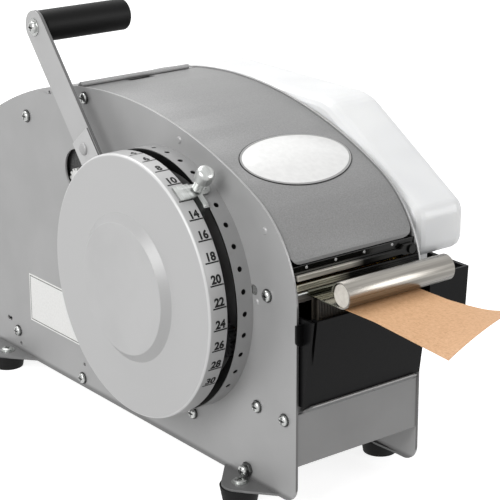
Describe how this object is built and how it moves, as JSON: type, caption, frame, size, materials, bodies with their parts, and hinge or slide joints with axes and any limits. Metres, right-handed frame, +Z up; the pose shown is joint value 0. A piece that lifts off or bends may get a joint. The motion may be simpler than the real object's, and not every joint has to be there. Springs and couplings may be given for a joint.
{
  "type": "gummed tape dispenser",
  "caption": "Lever-operated counter dispenser for water-activated paper tape, with a length dial, water tank and bottle, hinged covers and a cut strip.",
  "frame": {"origin": "centre of the overall box on the table, under the feet", "axes": "+X from the lever's side to the bottle's side, +Y to the rear, +Z up; the tape comes out towards -Y"},
  "size_m": [0.241, 0.64, 0.3628],
  "materials": {
    "left_side_frame": "satin grey paint",
    "right_side_frame": "satin grey paint",
    "front_panel": "satin grey paint",
    "tank_shelf": "satin grey paint",
    "base_pan": "satin grey paint",
    "rear_panel": "satin grey paint",
    "tape_basket": "zinc plated",
    "tie_rods": "bright zinc",
    "cover_hinge_rod": "bright zinc",
    "rubber_feet": "matte",
    "foot_screws": "bright zinc",
    "frame_screws": "bright zinc",
    "frame_rivets": "satin grey paint",
    "side_label": "printed film, bare",
    "dial_band": "zinc plated",
    "dial_cover": "satin pale grey paint",
    "dial_posts": "bright zinc",
    "dial_stud": "bright zinc",
    "bushings": "sintered bronze",
    "lower_blade": "polished",
    "blade_guard": "satin black paint",
    "blade_pivot": "bright zinc",
    "tape_guides": "plain brass",
    "guide_bar": "bright zinc",
    "guide_spring": "plain brass",
    "plate_hinge_rod": "bright zinc",
    "bottle_bracket": "satin grey paint",
    "lever_arm": "satin pale grey paint",
    "arm_doubler": "zinc plated",
    "lever_fasteners": "bright zinc",
    "drive_gear": "machined",
    "lever_hub": "machined",
    "handle_grip": "satin black",
    "length_stop": "zinc plated",
    "thumb_screw": "bright zinc",
    "transfer_shaft": "bright zinc",
    "transfer_pinion": "machined",
    "transfer_gear": "machined",
    "feed_shaft": "bright zinc",
    "feed_pinion": "machined",
    "feed_roller": "matte",
    "pressure_shaft": "bright zinc",
    "pressure_roller": "matte",
    "shear_blade": "polished",
    "pressure_plate": "satin stainless",
    "weight_rod": "satin stainless",
    "water_tank": "fine grained black",
    "front_brush": "stiff natural bristle",
    "rear_brush": "stiff natural bristle",
    "water_bottle": "translucent white",
    "bottle_cap": "satin white",
    "top_cover": "fine textured grey paint",
    "cover_badge": "printed film, bare",
    "rear_lid": "fine textured grey paint",
    "tape_roll": "kraft paper",
    "tape_core": "card tube",
    "tape_web": "kraft paper",
    "tape_strip": "kraft paper"
  },
  "bodies": {
    "frame": {"left_side_frame": "left_side_frame", "right_side_frame": "right_side_frame", "front_panel": "front_panel", "tank_shelf": "tank_shelf", "base_pan": "base_pan", "rear_panel": "rear_panel", "tape_basket": "tape_basket", "tie_rods": "tie_rods", "cover_hinge_rod": "cover_hinge_rod", "rubber_feet": "rubber_feet", "foot_screws": "foot_screws", "frame_screws": "frame_screws", "frame_rivets": "frame_rivets", "side_label": "side_label", "dial_band": "dial_band", "dial_cover": "dial_cover", "dial_posts": "dial_posts", "dial_stud": "dial_stud", "bushings": "bushings", "lower_blade": "lower_blade", "blade_guard": "blade_guard", "blade_pivot": "blade_pivot", "tape_guides": "tape_guides", "guide_bar": "guide_bar", "guide_spring": "guide_spring", "plate_hinge_rod": "plate_hinge_rod", "bottle_bracket": "bottle_bracket", "pressure_shaft": "pressure_shaft", "tape_web": "tape_web", "tape_strip": "tape_strip"},
    "lever": {"lever_arm": "lever_arm", "arm_doubler": "arm_doubler", "lever_fasteners": "lever_fasteners", "drive_gear": "drive_gear", "lever_hub": "lever_hub"},
    "grip": {"handle_grip": "handle_grip"},
    "stop": {"length_stop": "length_stop"},
    "stop_screw": {"thumb_screw": "thumb_screw"},
    "transfer": {"transfer_shaft": "transfer_shaft", "transfer_pinion": "transfer_pinion", "transfer_gear": "transfer_gear"},
    "feed": {"feed_shaft": "feed_shaft", "feed_pinion": "feed_pinion", "feed_roller": "feed_roller"},
    "press": {"pressure_roller": "pressure_roller"},
    "shear": {"shear_blade": "shear_blade"},
    "plate": {"pressure_plate": "pressure_plate", "weight_rod": "weight_rod"},
    "tank": {"water_tank": "water_tank", "front_brush": "front_brush", "rear_brush": "rear_brush"},
    "bottle": {"water_bottle": "water_bottle", "bottle_cap": "bottle_cap"},
    "cover": {"top_cover": "top_cover", "cover_badge": "cover_badge"},
    "lid": {"rear_lid": "rear_lid"},
    "roll": {"tape_roll": "tape_roll", "tape_core": "tape_core"}
  },
  "joints": [
    {"name": "lever_swing", "type": "hinge", "parent": "frame", "child": "lever", "pos_m": [-0.0875, -0.0014, 0.1611], "axis": [1, 0, 0], "range_deg": [0, 68]},
    {"name": "grip_spin", "type": "hinge", "parent": "lever", "child": "grip", "pos_m": [-0.0395, 0.17064, 0.3483], "axis": [1, 0, 0], "continuous": true},
    {"name": "stop_slide_round", "type": "hinge", "parent": "frame", "child": "stop", "pos_m": [-0.0895, -0.0014, 0.1611], "axis": [1, 0, 0], "range_deg": [-37, 84]},
    {"name": "stop_screw_turn", "type": "hinge", "parent": "stop", "child": "stop_screw", "pos_m": [-0.08875, -0.06409, 0.25415], "axis": [0, -0.6065, 0.795], "range_deg": [-180, 180]},
    {"name": "transfer_spin", "type": "hinge", "parent": "frame", "child": "transfer", "pos_m": [-0.0095, -0.0891, 0.13373], "axis": [1, 0, 0], "range_deg": [-430, 20]},
    {"name": "feed_spin", "type": "hinge", "parent": "frame", "child": "feed", "pos_m": [-0.0095, -0.116, 0.165], "axis": [1, 0, 0], "range_deg": [-20, 900]},
    {"name": "pressure_spin", "type": "hinge", "parent": "frame", "child": "press", "pos_m": [-0.0095, -0.116, 0.1999], "axis": [1, 0, 0], "range_deg": [-2200, 50]},
    {"name": "roll_unwind", "type": "hinge", "parent": "frame", "child": "roll", "pos_m": [-0.0165, 0.187, 0.1405], "axis": [1, 0, 0], "range_deg": [-5, 230]},
    {"name": "blade_shear", "type": "hinge", "parent": "frame", "child": "shear", "pos_m": [0.0525, -0.1618, 0.203], "axis": [0, -1, 0], "range_deg": [0, 7]},
    {"name": "plate_lift", "type": "hinge", "parent": "frame", "child": "plate", "pos_m": [-0.0035, -0.1658, 0.1906], "axis": [-1, 0, 0], "range_deg": [0, 60]},
    {"name": "tank_pull", "type": "slide", "parent": "frame", "child": "tank", "axis": [0, -1, 0], "range_m": [0, 0.055]},
    {"name": "bottle_lift", "type": "slide", "parent": "tank", "child": "bottle", "axis": [0, 0, 1], "range_m": [0, 0.06]},
    {"name": "cover_open", "type": "hinge", "parent": "frame", "child": "cover", "pos_m": [-0.0045, 0.1248, 0.2906], "axis": [-1, 0, 0], "range_deg": [0, 70]},
    {"name": "lid_open", "type": "hinge", "parent": "frame", "child": "lid", "pos_m": [-0.0045, 0.3146, 0.093], "axis": [-1, 0, 0], "range_deg": [0, 90]}
  ],
  "couplings": [
    {"joint": "transfer_spin", "follows": "lever_swing", "ratio": -6},
    {"joint": "feed_spin", "follows": "lever_swing", "ratio": 12.857},
    {"joint": "pressure_spin", "follows": "lever_swing", "ratio": -31.114},
    {"joint": "roll_unwind", "follows": "lever_swing", "ratio": 3.1114}
  ]
}
